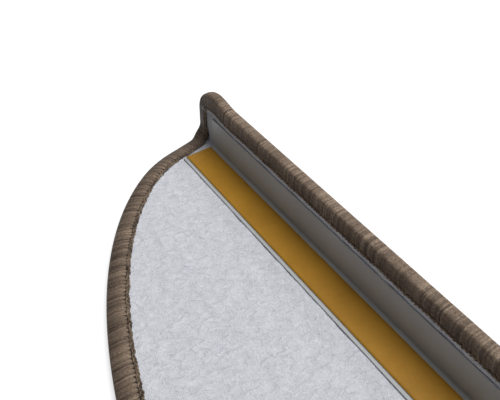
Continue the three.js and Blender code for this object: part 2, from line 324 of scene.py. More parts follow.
def mottled_colour():
    """Two tones of one colour in soft patches, with a finer speckle inside them."""
    tree, given, result = effect_group(
        "Mottled colour",
        [("Light", "Color", (1, 1, 1, 1)), ("Dark", "Color", (0, 0, 0, 1)),
         ("Patches per metre", "Float", 100), ("Speckle", "Float", 0.3)],
        [("Color", "Color"), ("Mask", "Float")],
    )
    where = place(tree, "TexCoord").outputs["Object"]
    patches = noise(tree, where, given["Patches per metre"], 3.0)
    finer = place(tree, "Math", {0: given["Patches per metre"], 1: 9.0}, operation="MULTIPLY")
    speckle = noise(tree, where, finer.outputs[0], 2.0)
    mixed = place(tree, "Mix", {0: given["Speckle"], 2: patches, 3: speckle})
    mask = spread_out(tree, mixed.outputs[0], 0.32, 0.68)
    tree.links.new(mix_colours(tree, mask, given["Dark"], given["Light"]), result["Color"])
    tree.links.new(mask, result["Mask"])
    return tree


def fibre_relief():
    """Height of short matted fibres that lie every way."""
    tree, given, result = effect_group(
        "Fibre relief", [("Fibres per metre", "Float", 900)], [("Height", "Float")]
    )
    where = place(tree, "TexCoord").outputs["Object"]
    swirl = noise(tree, where, given["Fibres per metre"], 4.0, 1.2)
    strands = noise(tree, where, given["Fibres per metre"], 2.0, 3.5)
    both = place(tree, "Math", {0: swirl, 1: strands}, operation="ADD")
    tree.links.new(both.outputs[0], result["Height"])
    return tree


mottle_group = mottled_colour()
fibre_group = fibre_relief()


def mottled(tree, light, dark, patches, speckle):
    """Places the mottled colour in a material, with its tones, patches per metre and share of speckle."""
    given = {"Light": light, "Dark": dark, "Patches per metre": patches, "Speckle": speckle}
    return place(tree, "Group", given, node_tree=mottle_group).outputs


def matted(tree, fibres_per_metre):
    """Places the fibre relief in a material and gives its height."""
    given = {"Fibres per metre": fibres_per_metre}
    return place(tree, "Group", given, node_tree=fibre_group).outputs["Height"]


def add_relief(tree, shader, height, strength, distance):
    """Feeds a height to the shader's normal."""
    bump = place(tree, "Bump", {"Height": height, "Strength": strength, "Distance": distance})
    tree.links.new(bump.outputs[0], shader.inputs["Normal"])


PILE_LIGHT = srgb(140, 126, 112)
PILE_DARK = srgb(84, 73, 64)
PILE_DEEP = srgb(58, 50, 44)


def pile_finish():
    """Bulky carpet yarn: each loop has its own tone, mottled and fibrous."""
    material, tree, shader = finish_of("Taupe carpet yarn", 0.92, 0.2)
    tone = place(tree, "Attribute", attribute_name="tone").outputs["Fac"]
    colour = mottled(tree, PILE_LIGHT, PILE_DARK, patches=260, speckle=0.5)["Color"]
    tree.links.new(mix_colours(tree, tone, PILE_DARK, colour), shader.inputs["Base Color"])
    add_relief(tree, shader, matted(tree, 2200), 0.7, 0.0004)
    shader.inputs["Sheen Weight"].default_value = 0.25
    shader.inputs["Sheen Roughness"].default_value = 0.5
    return material


def ground_finish():
    """The tufting cloth between the loops, which stays in their shade."""
    material, tree, shader = finish_of("Tufting ground", 0.95, 0.1)
    colour = mottled(tree, PILE_DARK, PILE_DEEP, patches=300, speckle=0.6)
    tree.links.new(colour["Color"], shader.inputs["Base Color"])
    add_relief(tree, shader, matted(tree, 1400), 0.6, 0.0005)
    return material


LOOP_STAND = 1.9
LOOP_ROW_SPACING = 3.1
LOOP_PITCH = 2.9
LOOP_HALF_SPAN = 0.75
LOOP_RISE = 1.0
LOOP_THICKNESS = 0.85
LOOP_SPREAD = 1.35
LOOP_EDGE_INSET = 9.0
LOOP_SHIFT_ALONG = 0.35
LOOP_SHIFT_ACROSS = 0.3
LOOP_TURN = 0.45
LOOP_SIZES = (0.88, 1.12)
LOOP_RISES = (0.8, 1.15)
LOOP_TONES = (0.15, 1)
LOOP_ARCH = (math.radians(-20), math.radians(200))
LOOP_FOOT = -0.6
PILE_FACE_ARC = (FOLD_RADIUS + CARPET_THICKNESS) * math.pi / 4
PILE_BACK = 165
PILE_SPLIT = 62
PILE_RIM = -60
PLAIN_LOOPS = {"rings": 5, "sides": 4}
FINE_LOOPS = {"rings": 6, "sides": 5}
BOND_FILM = 0.3
LOOP_SUNK = 0.4
GROUND_COLUMNS = 81


def pile_loops(name, low, high, rings, sides, seed):
    """Rows of tufted loops between two places on the pile's face, measured round the fold."""
    rng = np.random.default_rng(seed)
    half, u = edge_at(run_at(mat_rows()), LOOP_EDGE_INSET)
    count = int((high - low) / LOOP_ROW_SPACING)
    spots = []
    for i in range(count):
        face = low + (i + 0.5) * (high - low) / count
        inside = abs(face) < PILE_FACE_ARC
        stretch = PILE_FACE_ARC / FOLD_RADIUS if inside else 1.0
        at = face / stretch if inside else face - math.copysign(PILE_FACE_ARC - FOLD_RADIUS, face)
        if not u.min() < at < u.max():
            continue
        reach = float(np.interp(-at, -u, half))
        x = np.arange(-reach + LOOP_PITCH * (0.5 + 0.5 * (i % 2)), reach - LOOP_PITCH / 2, LOOP_PITCH)
        spots.append(np.stack([x, np.full(x.size, at), np.full(x.size, stretch)], -1))
    spots = np.concatenate(spots)
    number = len(spots)
    spots[:, 0] += rng.uniform(-LOOP_SHIFT_ALONG, LOOP_SHIFT_ALONG, number)
    spots[:, 1] += rng.uniform(-LOOP_SHIFT_ACROSS, LOOP_SHIFT_ACROSS, number) / spots[:, 2]
    way = rng.normal(0, LOOP_TURN, number)
    size = rng.uniform(*LOOP_SIZES, number)
    rise = LOOP_RISE * rng.uniform(*LOOP_RISES, number)
    arch = np.linspace(*LOOP_ARCH, rings)
    round_it = np.linspace(0, 2 * math.pi, sides, endpoint=False)
    radial = LOOP_THICKNESS * np.cos(round_it)
    lateral = LOOP_SPREAD * np.sin(round_it)
    forward = np.cos(arch)[:, None] * (LOOP_HALF_SPAN + radial)[None, :]
    up = np.sin(arch)[:, None] * np.broadcast_to(1 + radial / LOOP_RISE, (rings, sides))
    forward = forward[None] * size[:, None, None]
    up = up[None] * rise[:, None, None]
    side = np.broadcast_to(lateral, (rings, sides))[None] * size[:, None, None]
    turn_x, turn_u = np.cos(way)[:, None, None], np.sin(way)[:, None, None]
    x = spots[:, 0, None, None] + forward * turn_x - side * turn_u
    u = spots[:, 1, None, None] + (forward * turn_u + side * turn_x) / spots[:, 2, None, None]
    depth = CARPET_THICKNESS - LOOP_STAND + np.clip(up, LOOP_FOOT, None)
    points = fold_cut(x, u, depth).reshape(-1, 3)
    made = mesh_object(name, points, tube_faces(number, rings, sides))
    add_values(made, "tone", np.repeat(rng.uniform(*LOOP_TONES, number), rings * sides))
    made.data.materials.append(pile_yarn)
    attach(made, "root")
    return made


pile_yarn = pile_finish()
rows_u = mat_rows()
ground_top = FLEECE_THICKNESS + BOND_FILM
ground_foot = CARPET_THICKNESS - LOOP_STAND + LOOP_SUNK
ground = layered_sheet(
    "tufted_ground",
    [pressed_layer(rows_u, depth) for depth in (ground_top, EDGE_MIDDLE, ground_foot)],
    np.linspace(-1, 1, GROUND_COLUMNS),
    fold_cut,
)
ground.data.materials.append(ground_finish())
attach(ground, "root")
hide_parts("carpet_pile")
pile_pieces = [
    pile_loops("pile_loops_back", PILE_SPLIT, PILE_BACK, seed=11, **PLAIN_LOOPS),
    pile_loops("pile_loops_front", PILE_FACE_ARC, PILE_SPLIT, seed=12, **PLAIN_LOOPS),
    pile_loops("pile_loops_flange", PILE_RIM, PILE_FACE_ARC, seed=13, **FINE_LOOPS),
]

# Fleece backing
# White needled fleece bonded to the back of the carpet, which grips the stair and deadens steps.
# It is soft, faintly creased by the bonding, and swells beside the profile that is pressed into it.

FLEECE_COLUMNS = 201
FLEECE_LIGHT = srgb(209, 211, 216)
FLEECE_DARK = srgb(197, 199, 206)
CREASES_PER_METRE = (370, 125, 125)
CREASE_TURN = math.radians(14)
CREASE_DEPTH = 4.2
BROAD_WAVES = (9, 26)
BROAD_HEIGHT = 0.12
SHORT_WAVES = (3.5, 9)
SHORT_HEIGHT = 0.11
SHORT_ALONG = (0.55, 0.3)
SHORT_ACROSS = (1.1, 0.25)
SWELL_FLANGE = 1.0
SWELL_FLANGE_START = 24.05
SWELL_FLANGE_RISE = 0.55
SWELL_FLANGE_END = 29
SWELL_TREAD = 0.8
SWELL_TREAD_START = 25.6
SWELL_TREAD_RISE = 0.8
SWELL_TREAD_FADE = (27, 14)
SWELL_SERGING = 16.5
SWELL_SOFT_EDGE = 2
SWELL_END = 1.4
SWELL_END_START = 259
SWELL_END_RISE = 1.2
SWELL_END_SERGING = 15
SWELL_END_WIDER = 1.6
SWELL_END_WIDER_BY = 20
SWELL_END_FALL = 1.3
SWELL_END_FLANGE = 26
SWELL_END_SIDES = 3


def past(at, start, length):
    """Rises from 0 at a start to 1 a length farther on."""
    return smooth((at - start) / length)


def fleece_lift(x, u):
    """How far the fleece stands up from its mean face, in millimetres."""
    broad = BROAD_HEIGHT * ripples(x, u, *BROAD_WAVES, 3)
    slanted_x = x * SHORT_ALONG[0] + u * SHORT_ALONG[1]
    slanted_u = u * SHORT_ACROSS[0] - x * SHORT_ACROSS[1]
    short = SHORT_HEIGHT * ripples(slanted_x, slanted_u, *SHORT_WAVES, 4)
    out = np.abs(x)
    edge = HALF_LENGTH * np.sqrt(1 - (np.clip(u, 0, TREAD_REACH) / TREAD_REACH) ** 2)
    on_flange = past(-u, SWELL_FLANGE_START, SWELL_FLANGE_RISE)
    on_flange = on_flange * smooth((SWELL_FLANGE_END + u) / SWELL_SOFT_EDGE)
    on_tread = past(u, SWELL_TREAD_START, SWELL_TREAD_RISE) * (1 - past(u, *SWELL_TREAD_FADE))
    on_tread *= smooth((edge - SWELL_SERGING - out) / SWELL_SOFT_EDGE)
    wider = SWELL_END_WIDER * smooth(-u / SWELL_END_WIDER_BY)
    at_end = past(out, SWELL_END_START, SWELL_END_RISE)
    at_end = at_end * smooth((edge - SWELL_END_SERGING + wider - out) / SWELL_END_FALL)
    sides = smooth((SWELL_TREAD_START - u) / SWELL_END_SIDES)
    at_end *= sides * smooth((SWELL_END_FLANGE + u) / SWELL_END_SIDES)
    swell = np.maximum(SWELL_FLANGE * on_flange + SWELL_TREAD * on_tread, SWELL_END * at_end)
    return broad + short + swell


def fleece_finish():
    """Matted white fibres with faint creases, greyed in their hollows as painted shade."""
    material, tree, shader = finish_of("White needled fleece", 0.95, 0.15)
    colour = mottled(tree, FLEECE_LIGHT, FLEECE_DARK, patches=210, speckle=0.5)["Color"]
    where = place(tree, "TexCoord").outputs["Object"]
    turned = place(tree, "Mapping", {"Vector": where, "Rotation": (0, 0, CREASE_TURN)})
    drawn = place(tree, "Mapping", {"Vector": turned.outputs[0], "Scale": CREASES_PER_METRE})
    creases = noise(tree, drawn.outputs[0], 1.0, 2.5, 0.7)
    # Painted shade: the crease pattern darkens the colour in the creases' hollows.
    crease_shade = spread_out(tree, creases, 0.3, 0.7, 0.93, 1.03)
    tree.links.new(mix_colours(tree, 1.0, colour, crease_shade, "MULTIPLY"), shader.inputs["Base Color"])
    inputs = {0: creases, 1: CREASE_DEPTH, 2: matted(tree, 420)}
    deeper = place(tree, "Math", inputs, operation="MULTIPLY_ADD")
    add_relief(tree, shader, deeper.outputs[0], 0.65, 0.0008)
    return material


fleece = layered_sheet(
    "needled_fleece",
    [pressed_layer(rows_u, depth) for depth in (0, FLEECE_THICKNESS / 3, FLEECE_THICKNESS)],
    np.linspace(-1, 1, FLEECE_COLUMNS),
    fold_cut,
    fleece_lift,
)
fleece.data.materials.append(fleece_finish())
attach(fleece, "root")
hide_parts("fleece_backing")

# Edge serging
# Taupe filament yarn wrapped round the whole cut edge by a serging machine, one wrap close to the next.
# The wraps lean a little, lie rounder on the tread and squarer on the flange, and end on the fleece in
# small teeth, where the needle drew them in.

SERGING_WIDTH_TREAD = 13.5
SERGING_WIDTH_FLANGE = 10.7
SERGING_WIDTH_PILE = 9.5
BRAID_SPACE = 2.5
WRAP_PITCH = 1.0
WRAP_WIDTH = 1.4
WRAP_THICKNESS = 0.5
WRAP_SIDES = 6

# One wrap's course: insets from the cut edge and depths under the fleece, from its tooth to the pile side.
FLAT_SHARE = (1.0, 0.97, 0.85, 0.62, 0.3)
FLAT_RISE = (0.9, 0.1, -0.3, -0.22, 0.05)
ROUNDED_FLAT = (0, 0.15, 0.22, -0.05, -0.05)
EDGE_INSET = (4.65, 3.4, 2.3, 1.45, 0.9, 0.6, 0.42, 0.4, 0.7, 1.45, 2.7, 4.65)
EDGE_DEPTH = (-0.42, -0.28, -0.05, 0.25, 0.7, 1.3, 2.4, 4.5, 5.9, 6.95, 7.7, 8.02)
ROUNDED_ARC = (0.55, 0.92, 1.2, 1.42, 1.5, 1.45, 0.95, 0, 0, 0, 0, 0)
PILE_INSET = (6.4, 9.2, SERGING_WIDTH_PILE)
PILE_RISE = (0, -0.05, -0.9)
FLAT_POINTS = len(FLAT_SHARE)
PILE_START = FLAT_POINTS + len(EDGE_INSET)
DIPPED_POINTS = slice(1, 4)
ROUNDED_BY = 25
TOOTH_GATHER = (0.5, 0.45, 0.2)
WRAP_TAPER = (0.55, 0.8, 0.6)
WRAP_STRETCH = (0.55, 1.75)
WRAP_WIDTHS = (0.92, 1.12)
WRAP_SHIFT = 0.13
WRAP_WAVER = 0.05
WAVER_TURN = 6
TOOTH_UNEVEN = 0.12
WRAP_DIPS = (-0.09, 0.05)
DIP_BETWEEN = 0.12
HALF_STEP = 0.5

# Tones from 0 to 1; a pair is where a change ends or starts and the length that it takes.
MIDDLE_TONE = 0.5
WRAP_TONES = 0.12
TONE_DRIFT = 0.04
TONE_WAVES = (3, 20)
# Painted shade darkens the wraps that dip between the stitches.
SHADE_BETWEEN_STITCHES = 0.12
# Painted shade darkens the wraps towards the cut edge, on the flange's ends and down its faces; painted
# light brightens the top of the flange's rim.
EDGE_PAINTED_SHADE = 0.3
EDGE_SHADE_INSET = (10, 9)
RIM_PAINTED_LIGHT = 0.08
RIM_START = (30, 7)
FACE_PAINTED_SHADE = 0.12
FACE_INSET = (6, 3)
RIM_END = (272, 22)
END_PAINTED_SHADE = 0.32
END_REACH = 8

WRAP_LEAN_TREAD = 0.3
WRAP_LEAN_FLANGE = 1.6
PILE_LEAN = -0.4
LEAN_UNEVEN = 0.1
LEAN_DRIFT = 0.09
LEAN_WAVES = (9, 40)
STITCH_PITCH = 2.8
TOOTH_REACH = 0.55
TOOTH_OVERLAP = 0.1
HEAP_HEIGHT = 2
HEAP_MIDDLE = (271, -31)
HEAP_REACH = 21
YARN_LIGHT = srgb(162, 143, 124)
YARN_MIDDLE = srgb(115, 99, 85)
YARN_DARK = srgb(58, 47, 38)
STREAK_SCALE = 0.6
STREAK_ROUND = 0.9
STREAK_SPREAD = 40
FILAMENT_SCALE = (1.3, 2.6, 1.0)
UNEVEN_WAVES = ((0.12, 41, 1), (0.1, 97, 2), (0.1, 213, 0))


def serging_width(run):
    """How far the serging reaches in on the fleece, narrower up the flange and a little uneven."""
    up = np.clip(-edge_at(run, 0)[1] / FLANGE_HEIGHT, 0, 1)
    even = SERGING_WIDTH_TREAD + (SERGING_WIDTH_FLANGE - SERGING_WIDTH_TREAD) * up
    turn = 2 * math.pi * run / EDGE_LENGTH
    return even + sum(height * np.sin(waves * turn + start) for height, waves, start in UNEVEN_WAVES)


def tubes(name, paths, beside, width, thickness, sides, closed=False):
    """Flattened yarns along rows of points; beside is the way in which each is widest."""
    number, steps = paths.shape[:2]
    if closed:
        ahead = np.roll(paths, -1, 1) - np.roll(paths, 1, 1)
    else:
        ahead = np.gradient(paths, axis=1)
    ahead /= np.linalg.norm(ahead, axis=-1, keepdims=True)
    out = np.cross(ahead, beside)
    out /= np.linalg.norm(out, axis=-1, keepdims=True)
    level = np.cross(out, ahead)
    angle = np.linspace(0, 2 * math.pi, sides, endpoint=False)
    half_width = np.asarray(width)[..., None, None] / 2 * np.cos(angle)[:, None]
    half_height = np.asarray(thickness)[..., None, None] / 2 * np.sin(angle)[:, None]
    points = paths[:, :, None] + half_width * level[:, :, None] + half_height * out[:, :, None]
    return mesh_object(name, points.reshape(-1, 3), tube_faces(number, steps, sides, closed))


def wrap_section(width, dip, heap, rounded):
    """Inset and depth along one wrap, from its tooth on the fleece round the edge to the pile side."""
    middle = YARN_LAYER - WRAP_THICKNESS / 2
    arc_inset = np.array(EDGE_INSET) - heap[:, None] * (1 - np.array(EDGE_INSET) / EDGE_RADIUS)
    arc_depth = np.array(EDGE_DEPTH) + rounded[:, None] * ROUNDED_ARC
    flat_inset = EDGE_RADIUS + (width[:, None] - EDGE_RADIUS) * FLAT_SHARE
    flat_depth = np.array(FLAT_RISE) - middle + rounded[:, None] * ROUNDED_FLAT
    flat_depth[:, DIPPED_POINTS] += dip[:, None]
    pile_inset = np.tile(PILE_INSET, (width.size, 1))
    pile_depth = np.tile(CARPET_THICKNESS + middle + np.array(PILE_RISE), (width.size, 1))
    inset = np.concatenate([flat_inset, arc_inset, pile_inset], 1)
    depth = np.concatenate([flat_depth, arc_depth, pile_depth], 1)
    return inset, depth


def wrap_tone(even, edge, inset):
    """Painted shade darkens the yarn towards and round the cut edge below the flange's top and on the
    flange's ends; on the flange's top a painted highlight lightens the rim and painted shade darkens its
    faces and corners.
    """
    rim = past(-edge[1], *RIM_START)[:, None]
    at_end = smooth(-edge[1] / END_REACH)[:, None] * (1 - rim)
    tone = even[:, None] - EDGE_PAINTED_SHADE * (1 - rim) * smooth((EDGE_SHADE_INSET[0] - inset) / EDGE_SHADE_INSET[1])
    on_rim = smooth((FACE_INSET[0] - inset) / FACE_INSET[1])
    lit = on_rim * smooth((RIM_END[0] - np.abs(edge[0])) / RIM_END[1])[:, None]
    tone += rim * (RIM_PAINTED_LIGHT * lit - FACE_PAINTED_SHADE * (1 - lit)) - END_PAINTED_SHADE * at_end
    return np.clip(tone, 0, 1)


def add_strand(made, tone, along, sides):
    """Stores each point's tone and its place along and round the yarn."""
    angle = np.linspace(0, 2 * math.pi, sides, endpoint=False)
    add_values(made, "tone", np.repeat(tone.reshape(-1), sides))
    add_values(made, "along", np.repeat(along.reshape(-1), sides))
    add_values(made, "around", np.tile(STREAK_ROUND * np.cos(angle), tone.size))


def yarn_finish(name, light, middle_tone, dark, sheen):
    """Bundled filaments: every wrap has its own tone, which also carries painted light and shade, and the
    filaments run along it.
    """
    material, tree, shader = finish_of(name, 0.5, 0.12)
    tone = place(tree, "Attribute", attribute_name="tone").outputs["Fac"]
    across = place(tree, "Attribute", attribute_name="around").outputs["Fac"]
    along = place(tree, "Attribute", attribute_name="along").outputs["Fac"]
    ramp = place(tree, "ValToRGB", {0: tone})
    ramp.color_ramp.elements[0].color = dark
    ramp.color_ramp.elements[1].color = light
    ramp.color_ramp.elements.new(0.5).color = middle_tone
    strand = place(tree, "CombineXYZ", {0: along, 1: across}).outputs[0]
    streaks = noise(tree, strand, 1.0, 3.0)
    finer = place(tree, "Mapping", {"Vector": strand, "Scale": FILAMENT_SCALE})
    filaments = noise(tree, finer.outputs[0], 1.0, 2.0)
    shade = spread_out(tree, filaments, 0.32, 0.68, 0.5, 1.5)
    tree.links.new(mix_colours(tree, 1.0, ramp.outputs[0], shade, "MULTIPLY"), shader.inputs["Base Color"])
    add_relief(tree, shader, streaks, 0.5, 0.0004)
    shader.inputs["Sheen Weight"].default_value = sheen
    shader.inputs["Sheen Roughness"].default_value = 0.35
    return material


def serging(name, first, last, seed):
    """The wraps between two lengths along the mat's edge."""
    rng = np.random.default_rng(seed)
    number = round((last - first) / WRAP_PITCH)
    run = first + (np.arange(number) + 0.5) * (last - first) / number
    run = run + rng.uniform(-WRAP_SHIFT, WRAP_SHIFT, number)
    stitch = EDGE_LENGTH / round(EDGE_LENGTH / STITCH_PITCH)
    off_stitch = np.mod(run, stitch) / stitch - 0.5
    between = (2 * off_stitch) ** 4
    width = serging_width(run) - BRAID_SPACE + TOOTH_OVERLAP
    width += TOOTH_REACH * (1 - (2 * off_stitch) ** 2) + rng.uniform(-TOOTH_UNEVEN, TOOTH_UNEVEN, number)
    edge = edge_at(run, 0)
    off_heap = np.hypot(np.abs(edge[0]) - HEAP_MIDDLE[0], edge[1] - HEAP_MIDDLE[1])
    heap = HEAP_HEIGHT * smooth(1 - off_heap / HEAP_REACH)
    dip = rng.uniform(*WRAP_DIPS, number) + DIP_BETWEEN * between
    inset, depth = wrap_section(width, dip, heap, smooth(edge[1] / ROUNDED_BY))
    steps = inset.shape[1]
    on_flange = np.clip(-edge[1] / FLANGE_HEIGHT, 0, 1)
    lean = WRAP_LEAN_TREAD + (WRAP_LEAN_FLANGE - WRAP_LEAN_TREAD) * on_flange
    lean = lean + rng.normal(0, LEAN_UNEVEN, number) + LEAN_DRIFT * ripples(run, 0, *LEAN_WAVES, seed + 2)
    share = np.zeros(inset.shape)
    flat, pile = slice(0, FLAT_POINTS), slice(PILE_START, None)
    share[:, flat] = ((inset - EDGE_RADIUS) / (width[:, None] - EDGE_RADIUS))[:, flat]
    share[:, pile] = PILE_LEAN * ((inset - EDGE_RADIUS) / (SERGING_WIDTH_PILE - EDGE_RADIUS))[:, pile]
    gather = np.zeros(inset.shape)
    gather[:, :len(TOOTH_GATHER)] = TOOTH_GATHER
    shifted = run[:, None] + lean[:, None] * share - gather * (off_stitch * stitch)[:, None]
    waver = np.sin(np.linspace(0, WAVER_TURN, steps))[None]
    shifted = shifted + rng.normal(0, WRAP_WAVER, (number, 1)) * waver
    paths = fold_cut(*edge_at(shifted, inset), depth)
    ahead = fold_cut(*edge_at(shifted + HALF_STEP, inset), depth)
    side = ahead - fold_cut(*edge_at(shifted - HALF_STEP, inset), depth)
    stretch = np.clip(np.linalg.norm(side, axis=-1) / MM, *WRAP_STRETCH)
    tapered = np.ones(steps)
    tapered[[0, 1, -1]] = WRAP_TAPER
    wide = WRAP_WIDTH * stretch * tapered * rng.uniform(*WRAP_WIDTHS, (number, 1)) * MM
    thick = np.full(wide.shape, WRAP_THICKNESS) * tapered * MM
    made = tubes(name, paths, side, wide, thick, WRAP_SIDES)
    drift = MIDDLE_TONE + TONE_DRIFT * ripples(run, 0, *TONE_WAVES, seed + 1)
    # Painted shade: wraps between the stitches, where they dip, are darkened.
    tone = drift + rng.normal(0, WRAP_TONES, number) - SHADE_BETWEEN_STITCHES * between
    parts = np.cumsum(np.linalg.norm(np.diff(paths, axis=1), axis=-1), 1)
    travelled = np.concatenate([np.zeros((number, 1)), parts], 1) / MM
    along = travelled * STREAK_SCALE + STREAK_SPREAD * rng.random((number, 1))
    add_strand(made, wrap_tone(tone, edge, inset), along, WRAP_SIDES)
    made.data.materials.append(binding_yarn)
    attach(made, "root")
    return made


binding_yarn = yarn_finish("Taupe binding yarn", YARN_LIGHT, YARN_MIDDLE, YARN_DARK, 0.04)
back_end = float(run_at(0))
wraps_back = serging("serging_wraps_back", -back_end, back_end, 21)
wraps_flange = serging("serging_wraps_flange", back_end, EDGE_LENGTH - back_end, 22)
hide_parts("edge_serging")
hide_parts("edge_serging")

# Lock stitch
# The needle threads of the serging, plaited into a narrow braid that lies on the fleece along the wraps.
# A thread runs in the groove between the two; its dark colour is painted shade, and it shows as dots
# between the teeth.

BRAID_WIDTH = 2
BRAID_PERIOD = 7.4
BRAID_SWING = 0.66
BRAID_HOP = 0.24
BRAID_STRAND = 0.78
BRAID_SIDES = 6
BRAID_STEP = 0.6
BRAID_DEPTH = -0.8
BRAID_FLATNESS = 1.15
BRAID_UNEVEN = 0.3
BRAID_WAVES = (1.8, 6)
# Painted light: the braid is lightened up the flange, where it lies in shade.
BRAID_PAINTED_LIGHT_UP = 0.2
BRAID_PATCHY = 0.2
BRAID_STREAK_SCALE = 0.8
STRAND_OFFSETS = (0, 50, 90)
THREAD_THICKNESS = 0.7
THREAD_FLATNESS = 1.5
THREAD_SIDES = 5
GROOVE_INSET = 0.35
GROOVE_DEPTH = -0.2
BRAID_LIGHT = srgb(146, 128, 110)
BRAID_MIDDLE = srgb(98, 84, 71)
BRAID_DARK = srgb(52, 42, 35)
# Painted shade: the groove thread's near-black colours stand for the groove's shadow.
THREAD_LIGHT = srgb(52, 44, 38)
THREAD_DARK = srgb(30, 25, 22)


def braid():
    """Three strands that cross over each other all the way round."""
    steps = round(EDGE_LENGTH / BRAID_STEP)
    run = np.arange(steps) * EDGE_LENGTH / steps
    phase = 2 * math.pi * run / EDGE_LENGTH * round(EDGE_LENGTH / BRAID_PERIOD)
    paths, beside = [], []
    for strand in range(3):
        turn = phase + strand * 2 * math.pi / 3
        swing = BRAID_SWING * (1 + BRAID_UNEVEN * ripples(run, 0, *BRAID_WAVES, 40 + strand))
        inset = serging_width(run) - BRAID_WIDTH / 2 + swing * np.sin(turn)
        depth = BRAID_DEPTH + BRAID_HOP * np.sin(2 * turn)
        paths.append(fold_cut(*edge_at(run, inset), depth))
        farther = fold_cut(*edge_at(run, inset + HALF_STEP), depth)
        beside.append(farther - fold_cut(*edge_at(run, inset - HALF_STEP), depth))
    paths, beside = np.array(paths), np.array(beside)
    width = np.full((3, steps), BRAID_STRAND * BRAID_FLATNESS * MM)
    height = np.full((3, steps), BRAID_STRAND * MM)
    made = tubes("lock_stitch_plait", paths, beside, width, height, BRAID_SIDES, closed=True)
    rng = np.random.default_rng(31)
    up = np.clip(-edge_at(run, 0)[1] / FLANGE_HEIGHT, 0, 1)
    runs = np.tile(run, 3)
    patchy = ripples(runs, np.repeat(STRAND_OFFSETS, steps), *TONE_WAVES, 32)
    # Painted light lightens the braid up the flange, where it lies in shade.
    tone = MIDDLE_TONE + BRAID_PAINTED_LIGHT_UP * np.tile(up, 3) + BRAID_PATCHY * patchy
    tone = np.clip(tone, 0, 1)
    along = runs * BRAID_STREAK_SCALE + np.repeat(rng.random(3) * STREAK_SPREAD, steps)
    add_strand(made, tone, along, BRAID_SIDES)
    return made


def lock_thread():
    """The thread in the groove between the wraps' teeth and the braid, which its finish paints dark as the
    groove's shade.
    """
    steps = round(EDGE_LENGTH)
    run = np.arange(steps) * EDGE_LENGTH / steps
    inset = serging_width(run) - BRAID_SPACE + GROOVE_INSET
    path = fold_cut(*edge_at(run, inset), GROOVE_DEPTH)
    farther = fold_cut(*edge_at(run, inset + HALF_STEP), GROOVE_DEPTH)
    beside = farther - fold_cut(*edge_at(run, inset - HALF_STEP), GROOVE_DEPTH)
    thick = np.full((1, steps), THREAD_THICKNESS * MM)
    wide = thick * THREAD_FLATNESS
    return tubes("lock_thread", path[None], beside[None], wide, thick, THREAD_SIDES, closed=True)


def thread_finish():
    """Thin sewing thread, twisted and sunk in the groove; its near-black colour is painted shade of the
    groove.
    """
    material, tree, shader = finish_of("Sewing thread in painted groove shade", 0.8, 0.2)
    colour = mottled(tree, THREAD_LIGHT, THREAD_DARK, patches=500, speckle=0.4)
    tree.links.new(colour["Color"], shader.inputs["Base Color"])
    add_relief(tree, shader, matted(tree, 2600), 0.5, 0.0002)
    return material


plait = braid()
needle_thread = yarn_finish("Braided needle thread", BRAID_LIGHT, BRAID_MIDDLE, BRAID_DARK, 0.02)
plait.data.materials.append(needle_thread)
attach(plait, "root")
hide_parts("lock_stitch_braid")
groove_thread = lock_thread()
groove_thread.data.materials.append(thread_finish())
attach(groove_thread, "root")

# Glue
# Two thin beads of clear hot-melt glue that hold the profile in the fold, one on each leg.
# They are pressed flat under the profile and show only at its edges.

GLUE_LIGHT = srgb(214, 208, 192)
GLUE_DARK = srgb(196, 188, 168)


def glue_finish():
    """Cloudy hot-melt glue, smooth where it was pressed."""
    material, tree, shader = finish_of("Pressed hot-melt glue", 0.35)
    colour = mottled(tree, GLUE_LIGHT, GLUE_DARK, patches=180, speckle=0.2)
    tree.links.new(colour["Color"], shader.inputs["Base Color"])
    add_relief(tree, shader, colour["Mask"], 0.3, 0.0002)
    return material


def refinish(node, material):
    """Gives a piece of the frame a new finish and keeps its shape."""
    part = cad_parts[node]
    part.data.materials.clear()
    part.data.materials.append(material)


hot_melt = glue_finish()
refinish("glue_strip_tread", hot_melt)
refinish("glue_strip_flange", hot_melt)

# Angle profile
# A light grey plastic angle, extruded, cut to length and glued into the fold, where it sits on the stair's
# nose. Its edges are trimmed square, which leaves them duller than its faces; their paler colour is painted
# light.

HALF_PROFILE = 258.5
PROFILE_WALL = 1.2
PROFILE_TREAD_LEG = 25.5
PROFILE_FLANGE_LEG = 24
PROFILE_CORNER_RADIUS = 2
PROFILE_COLUMNS = 27
PROFILE_CORNER_ROWS = 6
PROFILE_BEND_ROWS = 15
PROFILE_EDGE_RADIUS = 0.35
SHARP_EDGE = math.radians(40)
GLUE_THICKNESS = 0.3
PROFILE_LIGHT = srgb(178, 180, 180)
PROFILE_DARK = srgb(168, 169, 168)
# Painted light: the cut edges are coloured paler than the faces to lift them out of the shade they lie in.
CUT_EDGE_LIGHT = srgb(205, 206, 212)
CUT_EDGE_DARK = srgb(180, 181, 188)
DIE_LINES_PER_METRE = (3.0, 900.0, 900.0)


def profile_layer(depth):
    """Rows of the flat strip from its tread edge to its flange edge, with rounded corners."""
    turn = np.linspace(0, math.pi / 2, PROFILE_CORNER_ROWS)
    half = HALF_PROFILE - PROFILE_CORNER_RADIUS * (1 - np.sin(turn))
    dip = PROFILE_CORNER_RADIUS * (1 - np.cos(turn))
    bend = np.linspace(FOLD_RADIUS, -FOLD_RADIUS, PROFILE_BEND_ROWS)
    u = np.concatenate([PROFILE_TREAD_LEG - dip, bend, (-PROFILE_FLANGE_LEG + dip)[::-1]])
    halves = np.concatenate([half, np.full(bend.size, HALF_PROFILE), half[::-1]])
    return halves, u, depth


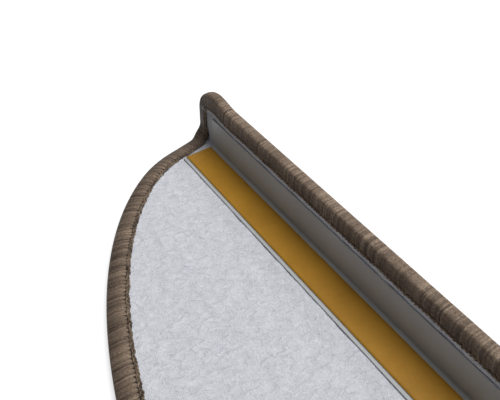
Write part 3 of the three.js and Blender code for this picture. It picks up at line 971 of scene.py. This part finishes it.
def extruded_finish():
    """Satin extruded plastic with faint lines drawn along it by the die."""
    material, tree, shader = finish_of("Light grey extruded plastic", 0.5, 0.25)
    colour = mottled(tree, PROFILE_LIGHT, PROFILE_DARK, patches=22, speckle=0.3)
    tree.links.new(colour["Color"], shader.inputs["Base Color"])
    where = place(tree, "TexCoord").outputs["Object"]
    drawn = place(tree, "Mapping", {"Vector": where, "Scale": DIE_LINES_PER_METRE})
    lines = noise(tree, drawn.outputs[0], 1.0, 2.0)
    tree.links.new(spread_out(tree, lines, 0.0, 1.0, 0.42, 0.58), shader.inputs["Roughness"])
    add_relief(tree, shader, lines, 0.25, 0.0001)
    return material


def cut_edge_finish():
    """The trimmed edge, dull, and paler than the faces as painted light."""
    material, tree, shader = finish_of("Trimmed plastic edge", 0.7, 0.3)
    colour = mottled(tree, CUT_EDGE_LIGHT, CUT_EDGE_DARK, patches=90, speckle=0.5)
    tree.links.new(colour["Color"], shader.inputs["Base Color"])
    add_relief(tree, shader, colour["Mask"], 0.3, 0.0002)
    return material


profile = layered_sheet(
    "extruded_angle",
    [profile_layer(-GLUE_THICKNESS - PROFILE_WALL), profile_layer(-GLUE_THICKNESS)],
    np.linspace(-1, 1, PROFILE_COLUMNS),
    fold,
)
profile.data.materials.append(extruded_finish())
profile.data.materials.append(cut_edge_finish())
broad_faces = 2 * (profile_layer(0)[0].size - 1) * (PROFILE_COLUMNS - 1)
for polygon in profile.data.polygons[broad_faces:]:
    polygon.material_index = 1
    polygon.use_smooth = False
softened = profile.modifiers.new("Softened edges", "BEVEL")
softened.width = PROFILE_EDGE_RADIUS * MM
softened.segments = 3
softened.material = 0
softened.angle_limit = SHARP_EDGE
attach(profile, "root")
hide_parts("angle_profile")

# Adhesive tape
# Double-sided tape stuck along the profile's tread leg, which holds the mat to the stair.
# A white scrim carries the glue; only its edges show under the liner.

TAPE_LIGHT = srgb(222, 216, 200)
TAPE_DARK = srgb(198, 190, 170)


def tape_finish():
    """Woven scrim soaked with acrylic glue."""
    material, tree, shader = finish_of("White scrim tape", 0.6, 0.4)
    colour = mottled(tree, TAPE_LIGHT, TAPE_DARK, patches=350, speckle=0.4)
    tree.links.new(colour["Color"], shader.inputs["Base Color"])
    add_relief(tree, shader, colour["Mask"], 0.3, 0.0002)
    return material


refinish("adhesive_tape", tape_finish())

# Release liner
# Amber siliconed paper that covers the tape until the mat is fitted and is then peeled off.
# It is satin, thin and not quite flat, so its sheen drifts along it.

LINER_LIGHT = srgb(167, 121, 32)
LINER_DARK = srgb(150, 107, 26)
LINER_WAVES = (14, 60)
LINER_WAVES_ACROSS = 0.4
LINER_RISE = 0.035
LINER_LOWEST = -0.08
LINER_STEPS = 240
LINER_STEPS_ACROSS = 12


def liner_finish():
    """Amber siliconed paper."""
    material, tree, shader = finish_of("Amber release paper", 0.5, 0.2)
    colour = mottled(tree, LINER_LIGHT, LINER_DARK, patches=40, speckle=0.25)
    tree.links.new(colour["Color"], shader.inputs["Base Color"])
    add_relief(tree, shader, matted(tree, 300), 0.12, 0.0003)
    return material


def liner_sheet():
    """A long paper strip with a soft wave along it."""
    low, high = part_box("release_liner")
    x = np.linspace(low.x, high.x, LINER_STEPS + 1)
    y = np.linspace(low.y, high.y, LINER_STEPS_ACROSS + 1)
    grid_x, grid_y = np.meshgrid(x, y, indexing="ij")
    wave = ripples(grid_x / MM, grid_y / MM * LINER_WAVES_ACROSS, *LINER_WAVES, 41) * LINER_RISE * MM
    top = np.stack([grid_x, grid_y, high.z + np.maximum(wave, LINER_LOWEST * MM)], -1).reshape(-1, 3)
    under = np.stack([grid_x, grid_y, np.full(grid_x.shape, low.z)], -1).reshape(-1, 3)
    index = np.arange(top.shape[0]).reshape(grid_x.shape)
    upper = np.stack([index[:-1, :-1], index[1:, :-1], index[1:, 1:], index[:-1, 1:]], -1).reshape(-1, 4)
    rim = np.concatenate([index[:, 0], index[-1, 1:], index[-2::-1, -1], index[0, -2:0:-1]])
    wall = np.stack([rim, rim + len(top), np.roll(rim, -1) + len(top), np.roll(rim, -1)], -1)
    faces = [upper, upper[:, ::-1] + len(top), wall]
    return mesh_object("release_paper", np.concatenate([top, under]), faces)


liner = liner_sheet()
liner.data.materials.append(liner_finish())
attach(liner, "root")
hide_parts("release_liner")

# Studio
# A white floor, a large soft lamp above and behind the flange, and the photograph's camera.
# The lamp hangs on the flange's far side, so the inside of the angle is in soft shade.

CAMERA_EYE = Vector((-42.53, 90.01, 274.88)) * MM
CAMERA_AIM = Vector((198.93, -62.09, 8.35)) * MM
CAMERA_ROLL = math.radians(-1.62)
CAMERA_LENS = 44.54
KEY_FROM = Vector((-0.2, -0.65, 1.6))
KEY_SPREAD = math.radians(48)
KEY_STRENGTH = 3.4
WORLD_FILL = 0.08
WORLD_COLOUR = (0.96, 0.97, 1.0, 1)
BACKDROP_COLOUR = (1, 1, 1, 1)
FLOOR_REACH = 6
FLOOR_THROWN_BACK = (0.3, 0.3, 0.3, 1)
FLOOR_SEEN = (0.5, 0.5, 0.5, 1)
FLOOR_GLOW = 0.62


def aim(thing, eye, target, roll=0.0):
    """Points a camera or lamp from eye to target, turned by roll about its own line of sight."""
    forward = (target - eye).normalized()
    level = forward.cross(Vector((0, 0, 1))).normalized()
    above = level.cross(forward)
    right = level * math.cos(roll) + above * math.sin(roll)
    up = above * math.cos(roll) - level * math.sin(roll)
    turned = Matrix((right, up, -forward)).transposed().to_4x4()
    thing.matrix_world = Matrix.Translation(eye) @ turned


def seen_directly(tree):
    """One for rays that look at a backdrop, straight or through gloss or glass."""
    path = place(tree, "LightPath").outputs
    seen = path["Is Camera Ray"]
    for kind in ("Is Glossy Ray", "Is Transmission Ray"):
        seen = place(tree, "Math", {0: seen, 1: path[kind]}, operation="MAXIMUM").outputs[0]
    return seen


def floor_finish():
    """A white sweep: bright to look at, and grey for the light that it throws back."""
    material = bpy.data.materials.new("White floor")
    material.use_nodes = True
    tree = material.node_tree
    tree.nodes.clear()
    matt = place(tree, "BsdfDiffuse", {"Color": FLOOR_THROWN_BACK})
    white = place(tree, "BsdfDiffuse", {"Color": FLOOR_SEEN})
    glow = place(tree, "Emission", {"Strength": FLOOR_GLOW})
    bright = place(tree, "AddShader", {0: white.outputs[0], 1: glow.outputs[0]})
    mixed = place(tree, "MixShader", {0: seen_directly(tree), 1: matt.outputs[0], 2: bright.outputs[0]})
    place(tree, "OutputMaterial", {0: mixed.outputs[0]})
    return material


floor_corners = np.array([(-1, -1, 0), (1, -1, 0), (1, 1, 0), (-1, 1, 0)], float) * FLOOR_REACH
floor = mesh_object("studio_floor", floor_corners, [np.array([[0, 1, 2, 3]])], rounded=False)
floor.data.materials.append(floor_finish())

world = bpy.data.worlds.new("Studio")
world.use_nodes = True
sky = world.node_tree
sky.nodes.clear()
fill = place(sky, "Background", {"Color": WORLD_COLOUR, "Strength": WORLD_FILL})
backdrop = place(sky, "Background", {"Color": BACKDROP_COLOUR, "Strength": 1.0})
chosen = place(sky, "MixShader", {0: seen_directly(sky), 1: fill.outputs[0], 2: backdrop.outputs[0]})
place(sky, "OutputWorld", {0: chosen.outputs[0]})
bpy.context.scene.world = world

key_data = bpy.data.lights.new("Softbox", "SUN")
key_data.energy = KEY_STRENGTH
key_data.angle = KEY_SPREAD
key = bpy.data.objects.new("Softbox", key_data)
bpy.context.scene.collection.objects.link(key)
aim(key, KEY_FROM, Vector((0, 0, 0)))

camera_data = bpy.data.cameras.new("Camera")
camera_data.lens = CAMERA_LENS
camera_data.clip_start = 0.01
camera = bpy.data.objects.new("Camera", camera_data)
bpy.context.scene.collection.objects.link(camera)
aim(camera, CAMERA_EYE, CAMERA_AIM, CAMERA_ROLL)
bpy.context.scene.camera = camera
bpy.context.scene.view_settings.view_transform = "Standard"
